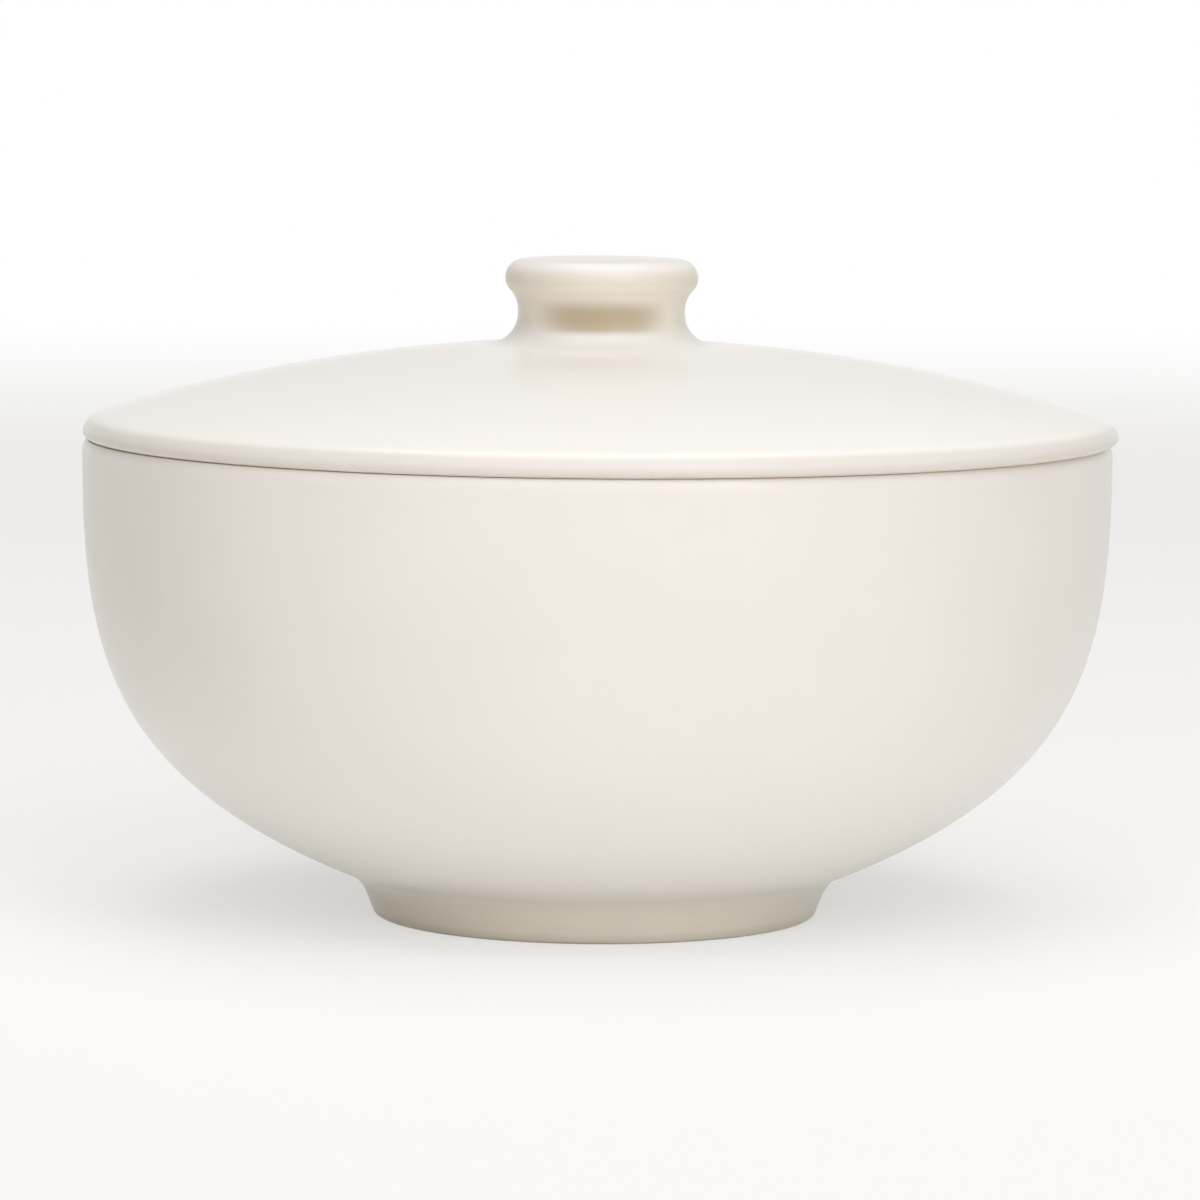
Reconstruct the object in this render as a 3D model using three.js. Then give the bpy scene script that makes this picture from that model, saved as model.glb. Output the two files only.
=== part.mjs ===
// A round soup bowl on a foot ring, with a loose domed lid that lifts off by its knob.
// Glazed stoneware, in millimetres. Z points up, and the table is at zero under the middle of the foot.
import * as THREE from "three";

// Bowl, outside
const bowlDiameter = 210;
const bowlHeight = 97.6;
const rimBand = 2.6; // height of the band at the top of the side that turns in to the rim
const rimTurnIn = 0.9; // how far that band turns in
const sidePull = 40.8; // how strongly the side stays upright below the band
const bellyPull = 52.7; // how strongly the belly keeps the slope it starts with
const bellySlope = 22.6; // degrees above level, where the belly leaves the foot
const footDiameter = 90.5; // at the table
const footHeight = 7.8; // from the table to the corner under the belly
const footFlare = 21.4; // degrees that the side of the foot leans out as it rises
const footFillet = 8.3; // hollow round in the corner under the belly
const footEdgeRound = 1.2;

// Bowl, inside and underneath
const bowlWall = 5;
const rimInnerRound = 1.4;
const floorRise = 2.7; // middle of the inside floor, above the corner under the belly
const floorThickness = 5.5;
const footRingWidth = 7; // width of the ring that stands on the table
const recessDraft = 15; // degrees that the hollow under the floor narrows as it rises
const recessFillet = 2;

// Lid, outside
const lidOverhang = 0.55; // how far the lid's edge stands out past the side of the bowl
const lidEdgeHeight = 3.7; // height of the dome over the seat, at the lid's edge
const domeRise = 16.1; // further rise of the dome from the edge to the middle
const lidLowerRound = 1.5;
const lidUpperRound = 5.2;
const neckDiameter = 34.1;
const neckLength = 0.7; // straight part between the two hollow rounds
const neckFillet = 6.3; // hollow round between the neck and the dome
const knobFlareRound = 5.75; // hollow round between the neck and the knob's edge
const knobOverhang = 2.63; // how far the knob stands out past the neck
const knobEdgeRound = 3.75;
const knobCrownRadius = 300; // slight dome on top of the knob

// Lid, underneath
const lidWall = 5;
const boreDraft = 3; // degrees that the hollow of the knob narrows as it rises
const boreEndRound = 5;
const boreMouthRound = 3;
const knobRoof = 5.5; // thickness over the hollow of the knob
const flangeDepth = 8; // how far the flange reaches down into the bowl
const flangeThickness = 4.5;
const flangeEdgeRound = 1.5;
const flangeRootRound = 0.8;
const flangeInnerRound = 4;

// Fit of the lid on the bowl
const seatGap = 0.3; // hairline under the lid, which rests on a few high spots of its seat
const flangePlay = 1.25; // gap around the flange when the lid is centred
const flangeLeastGap = 0.65; // gap left on the side that the lid is pushed to

// Fineness of the turned surfaces
const segments = 48;
const arcStep = THREE.MathUtils.degToRad(22.5);
const bellySteps = 15;
const floorSteps = 6;
const domeSteps = 12;

// Glaze, the same on both pieces
const glaze = { color: 0xf1ece5, roughness: 0.14, metalness: 0 };

const { degToRad } = THREE.MathUtils;

// Point of an outline: distance from the axis and height
function at(radius, height) {
  return new THREE.Vector2(radius, height);
}

// Point at a distance from another, in the direction of an angle above level
function away(point, distance, angle) {
  return at(point.x + distance * Math.cos(angle), point.y + distance * Math.sin(angle));
}

// Points of an arc about a centre, from one angle to another
function arc(centre, radius, from, to, steps = Math.ceil(Math.abs(to - from) / arcStep)) {
  const turn = (to - from) / steps;
  return Array.from({ length: steps + 1 }, (_, i) => away(centre, radius, from + i * turn));
}

// Arc that rounds the corner between the points before and after it
function rounded(before, corner, after, radius) {
  const back = before.clone().sub(corner).normalize();
  const ahead = after.clone().sub(corner).normalize();
  const half = Math.acos(back.dot(ahead)) / 2;
  const middle = back.clone().add(ahead).normalize();
  const centre = corner.clone().addScaledVector(middle, radius / Math.sin(half));
  const side = Math.sign(ahead.cross(back));
  const facing = middle.angle() + Math.PI;
  const swing = side * (Math.PI / 2 - half);
  return arc(centre, radius, facing - swing, facing + swing);
}

// Points along a curve, moved to its left by a distance
function alongside(curve, steps, distance) {
  return Array.from({ length: steps + 1 }, (_, i) => {
    const point = curve.getPoint(i / steps);
    const heading = curve.getTangent(i / steps);
    return at(point.x - heading.y * distance, point.y + heading.x * distance);
  });
}

// Point where two circles cross, to the right on the way from the first centre to the second
function circlesMeet(first, firstRadius, second, secondRadius) {
  const apart = first.distanceTo(second);
  const along = (firstRadius ** 2 - secondRadius ** 2 + apart ** 2) / (2 * apart);
  const aside = Math.sqrt(firstRadius ** 2 - along ** 2);
  const heading = second.clone().sub(first).angle();
  return away(away(first, along, heading), aside, heading - Math.PI / 2);
}

// Named piece with the glaze, turned about the upright axis from an outline
function turnedPiece(name, outline) {
  const geometry = new THREE.LatheGeometry(outline, segments).rotateX(Math.PI / 2);
  const piece = new THREE.Mesh(geometry, new THREE.MeshStandardMaterial(glaze));
  piece.name = name;
  return piece;
}

// Outline of the bowl, from the middle of its underside, round the outside, to the middle of its floor
function bowlOutline() {
  const slope = degToRad(bellySlope);
  const lean = Math.PI / 2 - degToRad(footFlare);
  const floorLevel = footHeight + floorRise;
  const recessLevel = floorLevel - floorThickness;

  const footRadius = footDiameter / 2;
  const ringInner = footRadius - footRingWidth;
  const recessMiddle = at(0, recessLevel);
  const recessCorner = at(ringInner - recessLevel * Math.tan(degToRad(recessDraft)), recessLevel);
  const ringInnerEdge = at(ringInner, 0);
  const ringOuterEdge = at(footRadius, 0);
  const bellyCorner = at(footRadius + footHeight / Math.tan(lean), footHeight);

  const filletReach = footFillet * Math.tan((lean - slope) / 2);
  const bellyStart = away(bellyCorner, filletReach, slope);
  const bellyEnd = at(bowlDiameter / 2, bowlHeight - rimBand);
  const belly = new THREE.CubicBezierCurve(
    bellyStart,
    away(bellyStart, bellyPull, slope),
    at(bellyEnd.x, bellyEnd.y - sidePull),
    bellyEnd,
  );

  const rimRadius = (rimBand ** 2 + rimTurnIn ** 2) / (2 * rimTurnIn);
  const rimCentre = at(bellyEnd.x - rimRadius, bellyEnd.y);
  const rimEnd = Math.atan2(rimBand, rimRadius - rimTurnIn);
  const rimOuter = at(bellyEnd.x - rimTurnIn, bowlHeight);
  const rimInner = at(bellyEnd.x - bowlWall, bowlHeight);
  const inside = alongside(belly, bellySteps, bowlWall).reverse();
  const floorEdge = inside.at(-1);
  const floorBend = at(floorEdge.x - (floorEdge.y - floorLevel) / Math.tan(slope), floorLevel);
  const floor = new THREE.QuadraticBezierCurve(floorEdge, floorBend, at(0, floorLevel));

  return [
    recessMiddle,
    ...rounded(recessMiddle, recessCorner, ringInnerEdge, recessFillet),
    ...rounded(recessCorner, ringInnerEdge, ringOuterEdge, footEdgeRound),
    ...rounded(ringInnerEdge, ringOuterEdge, bellyCorner, footEdgeRound),
    ...rounded(ringOuterEdge, bellyCorner, bellyStart, footFillet).slice(0, -1),
    ...alongside(belly, bellySteps, 0),
    ...arc(rimCentre, rimRadius, 0, rimEnd).slice(1),
    ...rounded(rimOuter, rimInner, inside[0], rimInnerRound),
    ...inside,
    ...floor.getPoints(floorSteps).slice(1),
  ];
}

// Outline of the lid, from the hollow of the knob, round the flange and the edge, to the top of the knob
function lidOutline() {
  const seat = bowlHeight + seatGap;
  const lidRadius = bowlDiameter / 2 + lidOverhang;
  const neckRadius = neckDiameter / 2;
  const upright = Math.PI / 2;

  const domeRadius = (lidRadius ** 2 + domeRise ** 2) / (2 * domeRise);
  const domeCentre = at(0, seat + lidEdgeHeight + domeRise - domeRadius);
  const undersideRadius = domeRadius - lidWall;
  const underside = (radius) => at(radius, domeCentre.y + Math.sqrt(undersideRadius ** 2 - radius ** 2));

  const lowerCentre = at(lidRadius - lidLowerRound, seat + lidLowerRound);
  const roundsApart = lidUpperRound - lidLowerRound;
  const upperCentre = circlesMeet(lowerCentre, roundsApart, domeCentre, domeRadius - lidUpperRound);
  const edgeAngle = Math.atan2(lowerCentre.y - upperCentre.y, lowerCentre.x - upperCentre.x);
  const domeStart = Math.atan2(upperCentre.y - domeCentre.y, upperCentre.x);

  const filletOut = neckRadius + neckFillet;
  const filletUp = Math.sqrt((domeRadius + neckFillet) ** 2 - filletOut ** 2);
  const filletCentre = at(filletOut, domeCentre.y + filletUp);
  const domeEnd = Math.atan2(filletCentre.y - domeCentre.y, filletCentre.x);

  const flareCentre = at(neckRadius + knobFlareRound, filletCentre.y + neckLength);
  const flareToEdge = knobFlareRound + knobEdgeRound;
  const edgeInset = flareToEdge - knobOverhang;
  const edgeUp = Math.sqrt(flareToEdge ** 2 - edgeInset ** 2);
  const knobCentre = at(flareCentre.x - edgeInset, flareCentre.y + edgeUp);
  const flareEnd = Math.atan2(edgeUp, -edgeInset);
  const crownTilt = Math.asin(knobCentre.x / (knobCrownRadius - knobEdgeRound));
  const crownDrop = (knobCrownRadius - knobEdgeRound) * Math.cos(crownTilt);
  const knobTop = at(0, knobCentre.y - crownDrop + knobCrownRadius);

  const boreTop = at(0, knobTop.y - knobRoof);
  const boreMouth = underside(neckRadius - lidWall);
  const boreHeight = boreTop.y - boreMouth.y;
  const boreCorner = at(boreMouth.x - boreHeight * Math.tan(degToRad(boreDraft)), boreTop.y);

  const flangeOuter = bowlDiameter / 2 - bowlWall - flangePlay;
  const flangeInner = flangeOuter - flangeThickness;
  const flangeRoot = at(flangeOuter, seat);
  const flangeOuterEdge = at(flangeOuter, seat - flangeDepth);
  const flangeInnerEdge = at(flangeInner, seat - flangeDepth);
  const flangeInnerRoot = underside(flangeInner);

  const hollowStart = boreMouth.x + boreMouthRound;
  const hollowStep = (flangeInner - flangeInnerRound - hollowStart) / domeSteps;
  const hollow = Array.from({ length: domeSteps + 1 }, (_, i) => underside(hollowStart + i * hollowStep));

  return [
    boreTop,
    ...rounded(boreTop, boreCorner, boreMouth, boreEndRound),
    ...rounded(boreCorner, boreMouth, hollow[0], boreMouthRound),
    ...hollow,
    ...rounded(hollow.at(-1), flangeInnerRoot, flangeInnerEdge, flangeInnerRound),
    ...rounded(flangeInnerRoot, flangeInnerEdge, flangeOuterEdge, flangeEdgeRound),
    ...rounded(flangeInnerEdge, flangeOuterEdge, flangeRoot, flangeEdgeRound),
    ...rounded(flangeOuterEdge, flangeRoot, at(lowerCentre.x, seat), flangeRootRound),
    ...arc(lowerCentre, lidLowerRound, -upright, edgeAngle),
    ...arc(upperCentre, lidUpperRound, edgeAngle, domeStart).slice(1),
    ...arc(domeCentre, domeRadius, domeStart, domeEnd, domeSteps).slice(1),
    ...arc(filletCentre, neckFillet, domeEnd - Math.PI, -Math.PI).slice(1),
    ...arc(flareCentre, knobFlareRound, Math.PI, flareEnd),
    ...arc(knobCentre, knobEdgeRound, flareEnd - Math.PI, upright - crownTilt).slice(1),
    knobTop,
  ];
}

const bowl = turnedPiece("bowl", bowlOutline());

// The loose lid lies off the middle, pushed to one side in its play
const lid = turnedPiece("lid", lidOutline());
lid.position.x = flangePlay - flangeLeastGap;

const soupBowl = new THREE.Group();
soupBowl.name = "lidded_soup_bowl";
soupBowl.add(bowl, lid);

export default soupBowl;
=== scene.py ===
"""Lidded soup bowl: finely turned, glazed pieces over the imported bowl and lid.

Metres, Z up, in the same frame as the CAD."""
import math

import bpy
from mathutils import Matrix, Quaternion, Vector


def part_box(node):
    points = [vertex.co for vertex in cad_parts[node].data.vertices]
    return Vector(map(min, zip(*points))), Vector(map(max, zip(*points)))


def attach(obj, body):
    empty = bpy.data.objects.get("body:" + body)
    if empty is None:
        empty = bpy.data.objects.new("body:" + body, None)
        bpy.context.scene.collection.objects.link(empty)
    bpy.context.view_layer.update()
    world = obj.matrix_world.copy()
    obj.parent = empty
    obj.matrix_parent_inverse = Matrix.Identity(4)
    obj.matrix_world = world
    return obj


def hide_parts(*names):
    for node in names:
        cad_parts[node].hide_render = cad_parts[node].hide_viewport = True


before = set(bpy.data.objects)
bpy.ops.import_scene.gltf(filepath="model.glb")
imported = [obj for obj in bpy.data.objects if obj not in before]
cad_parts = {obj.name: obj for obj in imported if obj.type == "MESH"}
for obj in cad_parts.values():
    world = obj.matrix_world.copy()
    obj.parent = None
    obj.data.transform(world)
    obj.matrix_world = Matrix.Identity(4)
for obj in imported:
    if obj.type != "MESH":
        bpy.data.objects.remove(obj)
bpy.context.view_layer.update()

MM = 0.001
UPRIGHT = math.pi / 2

# Sizes taken from the frame
bowl_low, bowl_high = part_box("bowl")
lid_low, lid_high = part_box("lid")
bowl_radius = (bowl_high.x - bowl_low.x) / 2
bowl_height = bowl_high.z
lid_radius = (lid_high.x - lid_low.x) / 2
lid_shift = (lid_high.x + lid_low.x) / 2
flange_bottom = lid_low.z
knob_top = lid_high.z

# Bowl
rim_band = 2.6 * MM
rim_turn_in = 0.9 * MM
rim_edge_round = 0.5 * MM
rim_inner_round = 1.4 * MM
side_pull = 40.8 * MM
belly_pull = 52.7 * MM
belly_slope = math.radians(22.6)
foot_radius = 45.25 * MM
foot_height = 7.8 * MM
foot_flare = math.radians(21.4)
foot_fillet = 8.3 * MM
foot_edge_round = 1.2 * MM
foot_ring_width = 7 * MM
recess_draft = math.radians(15)
recess_fillet = 2 * MM
bowl_wall = 5 * MM
floor_rise = 2.7 * MM
floor_thickness = 5.5 * MM

# Lid
seat_gap = 0.3 * MM  # in the solids, and the dome is placed over it
seam_gap = 0.08 * MM  # what the glaze leaves open of that gap
lid_seat = bowl_height + seam_gap
lid_edge_height = 3.7 * MM
dome_rise = 16.1 * MM
lid_lower_round = 1.5 * MM
lid_upper_round = 5.2 * MM
neck_radius = 17.05 * MM
neck_length = 0.7 * MM
neck_fillet = 6.3 * MM
knob_flare_round = 5.75 * MM
knob_overhang = 2.63 * MM
knob_edge_round = 3.75 * MM
knob_crown_radius = 300 * MM
lid_wall = 5 * MM
bore_draft = math.radians(3)
bore_end_round = 5 * MM
bore_mouth_round = 3 * MM
knob_roof = 5.5 * MM
flange_play = 1.25 * MM
flange_thickness = 4.5 * MM
flange_edge_round = 1.5 * MM
flange_root_round = 0.8 * MM
flange_inner_round = 4 * MM

# Fineness of the turned meshes
segments = 192
arc_step = math.radians(5)
least_arc_steps = 4
crown_steps = 12
curve_steps = 72
heading_step = 1e-4  # share of a curve's way, to either side, over which its heading is taken
bend_reach = 2.5 * MM  # length of outline, to either side, over which its bend is averaged

# Colours of the glaze and the clay, and of the light and shade painted on the glaze
glaze_colour = (0.86, 0.835, 0.80, 1)
cloud_colour = (0.872, 0.849, 0.818, 1)  # faint clouds
painted_bounce_colour = (0.95, 0.931, 0.901, 1)  # painted bounce light from the floor, whiter towards the bottom of a piece
thin_glaze_and_shade_colour = (0.797, 0.77, 0.722, 1)  # darker and warmer on edges: partly glaze drawn thin, partly painted shade
painted_warm_shade = (1.0, 0.98, 0.908, 1)  # painted warm shade on the sides of the knob and on the foot
knob_shadow_colour = (0.50, 0.415, 0.285, 1)  # painted shadow in the hollow under the knob
clay_colour = (0.74, 0.66, 0.55, 1)  # fired clay, bare where a piece rested in the kiln

# Gloss of the glaze and the clay
glaze_ior = 1.5
glaze_gloss = 0.1  # of the glaze's body, where 0.5 would be the gloss that its IOR gives
glaze_roughness = 0.305
roughness_swing = 0.02
coat_share = 0.28  # of a clear, sharper gloss on top
coat_roughness = 0.12
clay_roughness = 0.8

# Unevenness of the glaze and the clay
cloud_size = 26 * MM
sheen_size = 9 * MM
ripple_size = 33 * MM
ripple_depth = 0.02 * MM
ripple_detail = 0
peel_size = 4 * MM
peel_depth = 0.003 * MM
peel_detail = 1
grain_size = 0.5 * MM
grain_depth = 0.05 * MM
grain_detail = 2
patch_detail = 2
patch_noise = (0.3, 0.7)  # values of the noise that a patch fades in over
bare_height = 0.3 * MM  # over the level that a piece rested on: the glaze was wiped off up to here
wipe_size = 6 * MM
wipe_wander = 0.12 * MM
wipe_blur = 0.06 * MM

# Spans over which the glaze and the light and shade painted on it change: a change begins at the first value
# and is full at the second.
# Heights are shares of a piece's own, bends are in radians per millimetre, and reaches are distances
# from the axis. Rises and fronts are the Z and Y parts of the direction that a surface faces.
painted_bounce_heights = (0.72, 0.15)
thin_and_shade_heights = (0.97, 0.93)
thin_and_shade_bends = (0.1, 0.3)
warm_shade_foot_heights = (0.24, 0.04)
warm_shade_knob_heights = (0.5, 0.65)
warm_shade_knob_reaches = (24 * MM, 20 * MM)
warm_shade_knob_rises = (0.7, 0.1)
knob_shadow_heights = (0.2, 0.5)
knob_shadow_bends = (-0.02, -0.14)
knob_shadow_upper_rises = (0.65, 0.38)
knob_shadow_lower_rises = (-0.75, 0.05)
knob_shadow_fronts = (-0.55, -1.0)


def at(radius, height):
    """Point of an outline: distance from the axis and height."""
    return Vector((radius, height))


def away(point, distance, angle):
    """Point at a distance from another, in the direction of an angle above level."""
    return point + distance * at(math.cos(angle), math.sin(angle))


def arc(centre, radius, start, end, steps=None):
    """Points of an arc about a centre, from one angle to another."""
    steps = steps or max(least_arc_steps, math.ceil(abs(end - start) / arc_step))
    return [away(centre, radius, start + (end - start) * i / steps) for i in range(steps + 1)]


def rounded(before, corner, after, radius):
    """Arc that rounds the corner between the points before and after it."""
    back = (before - corner).normalized()
    ahead = (after - corner).normalized()
    half = math.acos(back.dot(ahead)) / 2
    middle = (back + ahead).normalized()
    centre = corner + middle * radius / math.sin(half)
    outward = math.atan2(-middle.y, -middle.x)
    swing = math.copysign(UPRIGHT - half, ahead.x * back.y - ahead.y * back.x)
    return arc(centre, radius, outward - swing, outward + swing)


def bezier(points, share):
    """Point of a Bezier curve at a share of its way, by repeated mixing of its control points."""
    while len(points) > 1:
        points = [a.lerp(b, share) for a, b in zip(points, points[1:])]
    return points[0]


def along(points, offset=0.0):
    """Points along a Bezier curve, moved to its left by an offset."""
    curve = []
    for i in range(curve_steps + 1):
        share = i / curve_steps
        ahead = bezier(points, share + heading_step)
        behind = bezier(points, share - heading_step)
        heading = (ahead - behind).normalized()
        curve.append(bezier(points, share) + offset * at(-heading.y, heading.x))
    return curve


def circles_meet(first, first_radius, second, second_radius):
    """Point where two circles cross, to the right on the way from the first centre to the second."""
    apart = (second - first).length
    ahead = (first_radius**2 - second_radius**2 + apart**2) / (2 * apart)
    aside = math.sqrt(first_radius**2 - ahead**2)
    heading = math.atan2(second.y - first.y, second.x - first.x)
    return away(away(first, ahead, heading), aside, heading - UPRIGHT)


def bowl_outline():
    """Outline of the bowl, from the middle of its underside, round the outside, to that of its floor."""
    lean = UPRIGHT - foot_flare
    floor_level = foot_height + floor_rise
    recess_level = floor_level - floor_thickness
    ring_inner = foot_radius - foot_ring_width
    recess_middle = at(0, recess_level)
    recess_corner = at(ring_inner - recess_level * math.tan(recess_draft), recess_level)
    ring_inner_edge = at(ring_inner, 0)
    ring_outer_edge = at(foot_radius, 0)
    belly_corner = at(foot_radius + foot_height / math.tan(lean), foot_height)

    belly_start = away(belly_corner, foot_fillet * math.tan((lean - belly_slope) / 2), belly_slope)
    belly_bulge = away(belly_start, belly_pull, belly_slope)
    belly_end = at(bowl_radius, bowl_height - rim_band)
    belly = [belly_start, belly_bulge, belly_end - at(0, side_pull), belly_end]

    rim_radius = (rim_band**2 + rim_turn_in**2) / (2 * rim_turn_in)
    rim_centre = at(bowl_radius - rim_radius, belly_end.y)
    rim_end = math.atan2(rim_band, rim_radius - rim_turn_in)
    rim_outer = at(bowl_radius - rim_turn_in, bowl_height)
    rim_inner = at(bowl_radius - bowl_wall, bowl_height)
    rim_before = away(rim_outer, rim_band, rim_end - UPRIGHT)
    rim_edge = rounded(rim_before, rim_outer, rim_inner, rim_edge_round)
    rim_cut = rim_end - rim_edge_round / rim_radius

    inside = along(belly, bowl_wall)[::-1]
    floor_edge = inside[-1]
    floor_bend = at(floor_edge.x - (floor_edge.y - floor_level) / math.tan(belly_slope), floor_level)
    return (
        [recess_middle]
        + rounded(recess_middle, recess_corner, ring_inner_edge, recess_fillet)
        + rounded(recess_corner, ring_inner_edge, ring_outer_edge, foot_edge_round)
        + rounded(ring_inner_edge, ring_outer_edge, belly_corner, foot_edge_round)
        + rounded(ring_outer_edge, belly_corner, belly_start, foot_fillet)[:-1]
        + along(belly)
        + arc(rim_centre, rim_radius, 0, rim_cut)[1:-1]
        + rim_edge
        + rounded(rim_outer, rim_inner, inside[0], rim_inner_round)
        + inside
        + along([floor_edge, floor_bend, at(0, floor_level)])[1:]
    )


def lid_outline():
    """Outline of the lid, from the hollow of the knob, round the flange and the edge, to the knob's top."""
    dome_radius = (lid_radius**2 + dome_rise**2) / (2 * dome_rise)
    dome_centre = at(0, bowl_height + seat_gap + lid_edge_height + dome_rise - dome_radius)

    def underside(radius):
        return at(radius, dome_centre.y + math.sqrt((dome_radius - lid_wall) ** 2 - radius**2))

    lower_centre = at(lid_radius - lid_lower_round, lid_seat + lid_lower_round)
    rounds_apart = lid_upper_round - lid_lower_round
    upper_centre = circles_meet(lower_centre, rounds_apart, dome_centre, dome_radius - lid_upper_round)
    edge_angle = math.atan2(lower_centre.y - upper_centre.y, lower_centre.x - upper_centre.x)
    dome_start = math.atan2(upper_centre.y - dome_centre.y, upper_centre.x)

    fillet_out = neck_radius + neck_fillet
    fillet_up = math.sqrt((dome_radius + neck_fillet) ** 2 - fillet_out**2)
    fillet_centre = at(fillet_out, dome_centre.y + fillet_up)
    dome_end = math.atan2(fillet_up, fillet_out)

    flare_centre = at(neck_radius + knob_flare_round, fillet_centre.y + neck_length)
    flare_to_edge = knob_flare_round + knob_edge_round
    edge_inset = flare_to_edge - knob_overhang
    edge_up = math.sqrt(flare_to_edge**2 - edge_inset**2)
    knob_centre = flare_centre + at(-edge_inset, edge_up)
    flare_end = math.atan2(edge_up, -edge_inset)
    crown_tilt = math.asin(knob_centre.x / (knob_crown_radius - knob_edge_round))
    crown_centre = at(0, knob_top - knob_crown_radius)

    bore_top = at(0, knob_top - knob_roof)
    bore_mouth = underside(neck_radius - lid_wall)
    bore_corner = at(bore_mouth.x - (bore_top.y - bore_mouth.y) * math.tan(bore_draft), bore_top.y)

    flange_outer = bowl_radius - bowl_wall - flange_play
    flange_inner = flange_outer - flange_thickness
    flange_root = at(flange_outer, lid_seat)
    flange_outer_edge = at(flange_outer, flange_bottom)
    flange_inner_edge = at(flange_inner, flange_bottom)
    flange_inner_root = underside(flange_inner)

    hollow_start = bore_mouth.x + bore_mouth_round
    hollow_end = flange_inner - flange_inner_round
    hollow_step = (hollow_end - hollow_start) / curve_steps
    hollow = [underside(hollow_start + i * hollow_step) for i in range(curve_steps + 1)]
    return (
        [bore_top]
        + rounded(bore_top, bore_corner, bore_mouth, bore_end_round)
        + rounded(bore_corner, bore_mouth, hollow[0], bore_mouth_round)
        + hollow
        + rounded(hollow[-1], flange_inner_root, flange_inner_edge, flange_inner_round)
        + rounded(flange_inner_root, flange_inner_edge, flange_outer_edge, flange_edge_round)
        + rounded(flange_inner_edge, flange_outer_edge, flange_root, flange_edge_round)
        + rounded(flange_outer_edge, flange_root, at(lower_centre.x, lid_seat), flange_root_round)
        + arc(lower_centre, lid_lower_round, -UPRIGHT, edge_angle)
        + arc(upper_centre, lid_upper_round, edge_angle, dome_start)[1:]
        + arc(dome_centre, dome_radius, dome_start, dome_end, curve_steps)[1:]
        + arc(fillet_centre, neck_fillet, dome_end - math.pi, -math.pi)[1:]
        + arc(flare_centre, knob_flare_round, math.pi, flare_end)
        + arc(knob_centre, knob_edge_round, flare_end - math.pi, UPRIGHT - crown_tilt)[1:]
        + arc(crown_centre, knob_crown_radius, UPRIGHT - crown_tilt, UPRIGHT, crown_steps)[1:-1]
        + [at(0, knob_top)]
    )


def bends(outline):
    """Bend of an outline at each point, in radians per millimetre: above zero on edges, below in hollows."""
    steps = [b - a for a, b in zip(outline, outline[1:])]
    turns = [math.atan2(a.x * b.y - a.y * b.x, a.dot(b)) for a, b in zip(steps, steps[1:])]
    places = [0.0]
    for step in steps:
        places.append(places[-1] + step.length)
    averages = []
    for place in places:
        near = [turn for turn, spot in zip(turns, places[1:]) if abs(spot - place) < bend_reach]
        averages.append(sum(near) / (2 * bend_reach / MM))
    return averages


def turned_mesh(name, outline, centre_x):
    """Closed mesh from an outline that starts and ends on the axis, turned about an upright axis."""
    rings = outline[1:-1]
    ends = [outline[0], outline[-1]]
    vertices = [(centre_x, 0, end.y) for end in ends]
    for point in rings:
        for i in range(segments):
            angle = 2 * math.pi * i / segments
            vertices.append((centre_x + point.x * math.cos(angle), point.x * math.sin(angle), point.y))

    def ring_vertex(ring, i):
        return len(ends) + ring * segments + i % segments

    faces = []
    last = len(rings) - 1
    for i in range(segments):
        faces.append((0, ring_vertex(0, i + 1), ring_vertex(0, i)))
        faces.append((1, ring_vertex(last, i), ring_vertex(last, i + 1)))
        for ring in range(last):
            lower = ring_vertex(ring, i), ring_vertex(ring, i + 1)
            upper = ring_vertex(ring + 1, i + 1), ring_vertex(ring + 1, i)
            faces.append(lower + upper)
    mesh = bpy.data.meshes.new(name)
    mesh.from_pydata(vertices, [], faces)
    mesh.shade_smooth()
    return mesh


def by_vertex(values):
    """Values of an outline's points in the order of its turned mesh: both ends, then ring by ring."""
    first, *rings, last = values
    return [first, last] + [value for value in rings for i in range(segments)]


def turned(name, outline, centre_x, rest_height):
    """Object turned from an outline.

    Each vertex carries the bend of the outline, its distance from the axis, its height over the level
    that the piece rested on in the kiln, and its height as a share of the piece's own."""
    mesh = turned_mesh(name, outline, centre_x)
    heights = [point.y for point in outline]
    bottom = min(heights)
    tall = max(heights) - bottom
    labelled = {
        "bend": bends(outline),
        "reach": [point.x for point in outline],
        "above_rest": [height - rest_height for height in heights],
        "share_up": [(height - bottom) / tall for height in heights],
    }
    for label, values in labelled.items():
        mesh.attributes.new(label, "FLOAT", "POINT").data.foreach_set("value", by_vertex(values))

    piece = bpy.data.objects.new(name, mesh)
    bpy.context.collection.objects.link(piece)
    return piece


def feed(tree, socket, value):
    """Gives a socket a value, or a link from another node's output."""
    if isinstance(value, bpy.types.NodeSocket):
        tree.links.new(value, socket)
    else:
        socket.default_value = value


def add_node(tree, kind, sockets, **settings):
    """New shader node, with its settings and with what its sockets are fed, by name or number."""
    node = tree.nodes.new("ShaderNode" + kind)
    for setting, value in settings.items():
        setattr(node, setting, value)
    for socket, value in sockets.items():
        feed(tree, node.inputs[socket], value)
    return node


def noise(tree, size, detail):
    """Noise in the piece's own space, with features of about a given size."""
    place = add_node(tree, "TexCoord", {}).outputs["Object"]
    sockets = {"Vector": place, "Scale": 1 / size, "Detail": detail}
    return add_node(tree, "TexNoise", sockets).outputs["Fac"]


def stepped(tree, value, span, results=(0.0, 1.0)):
    """Value carried smoothly from a span to two results, and held beyond its ends."""
    sockets = {
        "Value": value,
        "From Min": span[0],
        "From Max": span[1],
        "To Min": results[0],
        "To Max": results[1],
    }
    return add_node(tree, "MapRange", sockets, interpolation_type="SMOOTHSTEP").outputs["Result"]


def mixed(tree, share, first, second, way="MIX"):
    """Colour between two others, or the first tinted by the second, by a share of the second."""
    node = add_node(tree, "Mix", {}, data_type="RGBA", blend_type=way)
    inputs = [socket for socket in node.inputs if socket.enabled]
    for socket, value in zip(inputs, (share, first, second)):
        feed(tree, socket, value)
    return next(socket for socket in node.outputs if socket.enabled)


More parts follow.
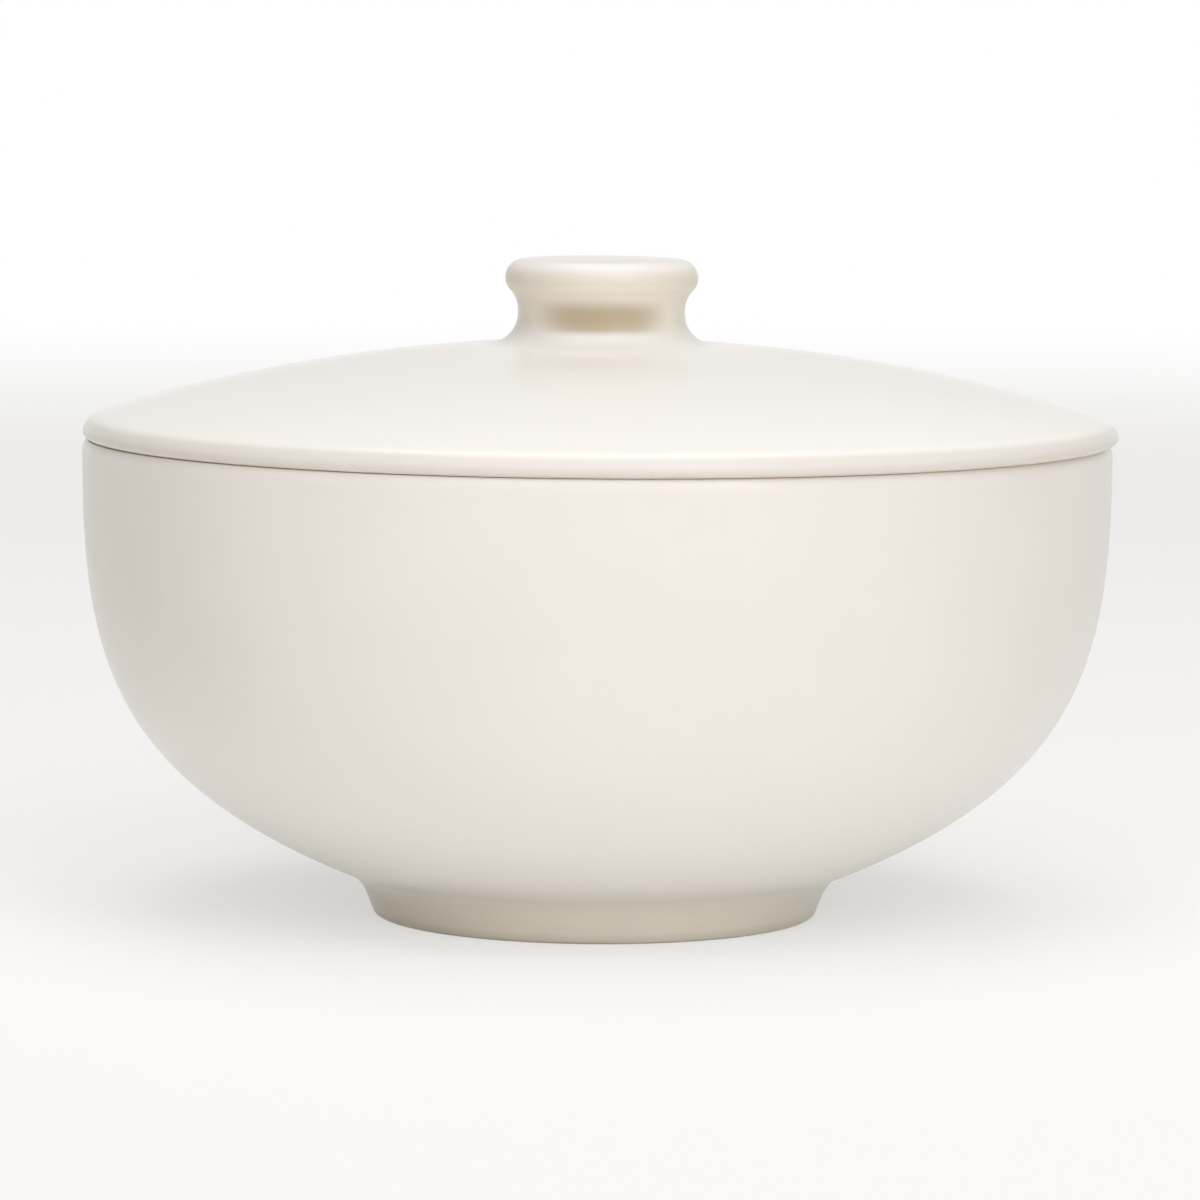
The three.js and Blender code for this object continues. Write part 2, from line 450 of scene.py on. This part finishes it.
def blended(tree, share, first, second):
    """Shader between two others, by a share of the second."""
    return add_node(tree, "MixShader", {0: share, 1: first, 2: second}).outputs["Shader"]


def worked_out(tree, operation, first, second):
    """Result of a named operation on two values."""
    return add_node(tree, "Math", {0: first, 1: second}, operation=operation).outputs["Value"]


def multiplied(tree, first, *others):
    """Product of any number of values."""
    for other in others:
        first = worked_out(tree, "MULTIPLY", first, other)
    return first


def carried(tree, label):
    """Value that the vertices carry under a label."""
    return add_node(tree, "Attribute", {}, attribute_name=label).outputs["Fac"]


def facing(tree):
    """Parts of the direction that the surface faces, by axis."""
    normal = add_node(tree, "NewGeometry", {}).outputs["Normal"]
    return add_node(tree, "SeparateXYZ", {"Vector": normal}).outputs


def patches(tree, size, results=(0.0, 1.0)):
    """Soft patches of about a given size, between two results."""
    return stepped(tree, noise(tree, size, patch_detail), patch_noise, results)


def bare_clay(tree):
    """One below the uneven line up to which the glaze was wiped off, and nought above it."""
    wander = patches(tree, wipe_size, (-wipe_wander, wipe_wander))
    height = worked_out(tree, "ADD", carried(tree, "above_rest"), wander)
    return stepped(tree, height, (bare_height + wipe_blur, bare_height - wipe_blur))


def painted_bounce(tree):
    """Share of painted bounce light: towards the bottom of a piece."""
    return stepped(tree, carried(tree, "share_up"), painted_bounce_heights)


def thin_glaze_and_shade(tree):
    """Share of thin glaze and painted shade: on edges, except at the very top of a piece."""
    edges = stepped(tree, carried(tree, "bend"), thin_and_shade_bends)
    return multiplied(tree, edges, stepped(tree, carried(tree, "share_up"), thin_and_shade_heights))


def warm_shade_share(tree):
    """Share of painted warm shade: on the foot, and on the knob where it doesn't face up."""
    height = carried(tree, "share_up")
    foot = stepped(tree, height, warm_shade_foot_heights)
    knob = multiplied(
        tree,
        stepped(tree, height, warm_shade_knob_heights),
        stepped(tree, carried(tree, "reach"), warm_shade_knob_reaches),
        stepped(tree, facing(tree)["Z"], warm_shade_knob_rises),
    )
    return worked_out(tree, "MAXIMUM", foot, knob)


def painted_knob_shadow(tree):
    """Share of the painted shadow under the knob: in hollows high on a piece that face out, deepest at the
    front.
    """
    sides = facing(tree)
    return multiplied(
        tree,
        stepped(tree, carried(tree, "bend"), knob_shadow_bends),
        stepped(tree, carried(tree, "share_up"), knob_shadow_heights),
        stepped(tree, sides["Z"], knob_shadow_upper_rises),
        stepped(tree, sides["Z"], knob_shadow_lower_rises),
        stepped(tree, sides["Y"], knob_shadow_fronts),
    )


def glaze_colours(tree, bare):
    """Colour of the glaze, from its base through each of its changes, to the bare clay."""
    colour = mixed(tree, patches(tree, cloud_size), glaze_colour, cloud_colour)
    # Besides thin glaze, the next steps paint light and shade: bounce light low down, shade on edges, warm
    # shade, and the knob's shadow.
    colour = mixed(tree, painted_bounce(tree), colour, painted_bounce_colour)
    colour = mixed(tree, thin_glaze_and_shade(tree), colour, thin_glaze_and_shade_colour)
    colour = mixed(tree, warm_shade_share(tree), colour, painted_warm_shade, "MULTIPLY")
    colour = mixed(tree, painted_knob_shadow(tree), colour, knob_shadow_colour)
    return mixed(tree, bare, colour, clay_colour)


def glaze_relief(tree, bare):
    """Normal of the surface: slow ripples and a fine peel in the glaze, and grain in the bare clay."""
    ripple = {"Height": noise(tree, ripple_size, ripple_detail), "Distance": ripple_depth}
    peel = {"Height": noise(tree, peel_size, peel_detail), "Distance": peel_depth}
    grain = {"Height": noise(tree, grain_size, grain_detail), "Distance": grain_depth, "Strength": bare}
    peel["Normal"] = add_node(tree, "Bump", ripple).outputs["Normal"]
    grain["Normal"] = add_node(tree, "Bump", peel).outputs["Normal"]
    return add_node(tree, "Bump", grain).outputs["Normal"]


def glaze_material():
    """Warm white glaze, faintly clouded, bare where a piece rested, with painted bounce light low down, thin
    glaze and painted shade on edges, painted warm shade on the knob and foot, and a painted shadow under the
    knob.
    """
    material = bpy.data.materials.new("warm_white_glaze")
    material.use_nodes = True
    tree = material.node_tree
    shader = tree.nodes["Principled BSDF"]
    bare = bare_clay(tree)
    roughnesses = (glaze_roughness - roughness_swing, glaze_roughness + roughness_swing)
    sheen = patches(tree, sheen_size, roughnesses)
    rough = add_node(tree, "Mix", {"Factor": bare, "A": sheen, "B": clay_roughness})
    tree.links.new(glaze_colours(tree, bare), shader.inputs["Base Color"])
    tree.links.new(rough.outputs["Result"], shader.inputs["Roughness"])
    tree.links.new(glaze_relief(tree, bare), shader.inputs["Normal"])
    shader.inputs["IOR"].default_value = glaze_ior
    shader.inputs["Specular IOR Level"].default_value = glaze_gloss
    shader.inputs["Coat Weight"].default_value = coat_share
    shader.inputs["Coat Roughness"].default_value = coat_roughness
    return material


glaze = glaze_material()
bowl = turned("glazed_bowl", bowl_outline(), 0, 0)
lid = turned("glazed_lid", lid_outline(), lid_shift, lid_seat)
for piece, node in ((bowl, "bowl"), (lid, "lid")):
    piece.data.materials.append(glaze)
    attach(piece, node)
    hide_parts(node)


# Camera, fitted to the outline in the photograph
camera_distance = 1.3094
camera_height = 0.1943
aim_height = 0.0644
camera_shift = 0.00072  # sideways
camera_roll = 0.0072
sensor_width = 36.0  # millimetres
focal_share = 5.352  # focal length as a share of the picture's width

camera = bpy.data.objects.new("camera", bpy.data.cameras.new("camera"))
bpy.context.collection.objects.link(camera)
camera.location = (camera_shift, -camera_distance, camera_height)
sight = Vector((0, camera_distance, aim_height - camera_height))
camera.rotation_mode = "QUATERNION"
camera.rotation_quaternion = sight.to_track_quat("-Z", "Y") @ Quaternion((0, 0, 1), camera_roll)
camera.data.sensor_width = sensor_width
camera.data.lens = sensor_width * focal_share
bpy.context.scene.camera = camera


# Light and surroundings
white_colour = (1, 1, 1, 1)
horizon_level = 1.0  # white
high_level = 0.8  # pale grey further up
horizon_rises = (0.02, 0.15)  # upward parts of the direction between which the white turns grey
paper_colour = (0.95, 0.945, 0.935, 1)
paper_roughness = 1.0
paper_gloss = 0.0
near_white = 0.55  # share of white in the paper as it is seen
whiten_distances = (0.9, 2.2)  # from the object, between which that share grows to all
floor_radius = 30.0
floor_corners = 64
floor_drop = 0.05 * MM  # keeps it clear of the foot ring
fill_colour = (1.0, 0.88, 0.65, 1)
fill_level = 0.21
lamp_colour = (0.977, 0.975, 1.0)
lamp_aim = Vector((0, 0, 0.07))


def seen_directly(tree):
    """One for rays from the camera, mirrored and passing rays, and nought for light between surfaces."""
    path = add_node(tree, "LightPath", {}).outputs
    mirrored = worked_out(tree, "MAXIMUM", path["Is Glossy Ray"], path["Is Transmission Ray"])
    return worked_out(tree, "MAXIMUM", path["Is Camera Ray"], mirrored)


def paper_material():
    """Pale paper that takes the object's shadow, whitens further out, and is clear from below."""
    material = bpy.data.materials.new("pale_paper")
    material.use_nodes = True
    tree = material.node_tree
    shader = tree.nodes["Principled BSDF"]
    shader.inputs["Base Color"].default_value = paper_colour
    shader.inputs["Roughness"].default_value = paper_roughness
    shader.inputs["Specular IOR Level"].default_value = paper_gloss
    white = add_node(tree, "Emission", {"Strength": horizon_level})
    place = add_node(tree, "TexCoord", {}).outputs["Object"]
    distance = add_node(tree, "VectorMath", {"Vector": place}, operation="LENGTH").outputs["Value"]
    whitened = stepped(tree, distance, whiten_distances, (near_white, 1.0))
    share = multiplied(tree, whitened, seen_directly(tree))
    paper = blended(tree, share, shader.outputs["BSDF"], white.outputs["Emission"])
    below = add_node(tree, "NewGeometry", {}).outputs["Backfacing"]
    clear = add_node(tree, "BsdfTransparent", {})
    one_sided = blended(tree, below, paper, clear.outputs["BSDF"])
    tree.links.new(one_sided, tree.nodes["Material Output"].inputs["Surface"])
    return material


def floor_disc():
    """Wide round floor under the object."""
    mesh = bpy.data.meshes.new("floor")
    angles = [2 * math.pi * i / floor_corners for i in range(floor_corners)]
    rim = [(floor_radius * math.cos(angle), floor_radius * math.sin(angle), 0) for angle in angles]
    mesh.from_pydata(rim, [], [range(floor_corners)])
    mesh.materials.append(paper_material())
    floor = bpy.data.objects.new("floor", mesh)
    bpy.context.collection.objects.link(floor)
    floor.location.z = -floor_drop


def studio_world():
    """White horizon and pale grey above, to look at and in reflections, and a dim warm light on surfaces."""
    world = bpy.data.worlds.new("studio")
    bpy.context.scene.world = world
    world.use_nodes = True
    tree = world.node_tree
    fill = tree.nodes["Background"]
    fill.inputs["Color"].default_value = fill_colour
    fill.inputs["Strength"].default_value = fill_level
    direction = add_node(tree, "TexCoord", {}).outputs["Generated"]
    rise = add_node(tree, "SeparateXYZ", {"Vector": direction}).outputs["Z"]
    level = stepped(tree, rise, horizon_rises, (horizon_level, high_level))
    white = add_node(tree, "Background", {"Color": white_colour, "Strength": level})
    share = seen_directly(tree)
    both = blended(tree, share, fill.outputs["Background"], white.outputs["Background"])
    tree.links.new(both, tree.nodes["World Output"].inputs["Surface"])


def softbox(name, place, width, height, power):
    """Area light that faces the object."""
    light = bpy.data.lights.new(name, "AREA")
    light.shape = "RECTANGLE"
    light.size = width
    light.size_y = height
    light.energy = power
    light.color = lamp_colour
    lamp = bpy.data.objects.new(name, light)
    bpy.context.collection.objects.link(lamp)
    lamp.location = place
    lamp.rotation_euler = (lamp_aim - lamp.location).to_track_quat("-Z", "Y").to_euler()


floor_disc()
studio_world()
softbox("front", place=(0, -2.6, 1.4), width=3.2, height=2.8, power=18.9)
softbox("front_right", place=(1.25, -2.35, 1.4), width=1.4, height=2.8, power=22.3)
softbox("high_front", place=(0, -1.3, 2.2), width=2.6, height=1.8, power=22.4)
softbox("overhead", place=(0, 0.4, 2.3), width=1.5, height=1.6, power=18)

bpy.context.scene.view_settings.view_transform = "Standard"
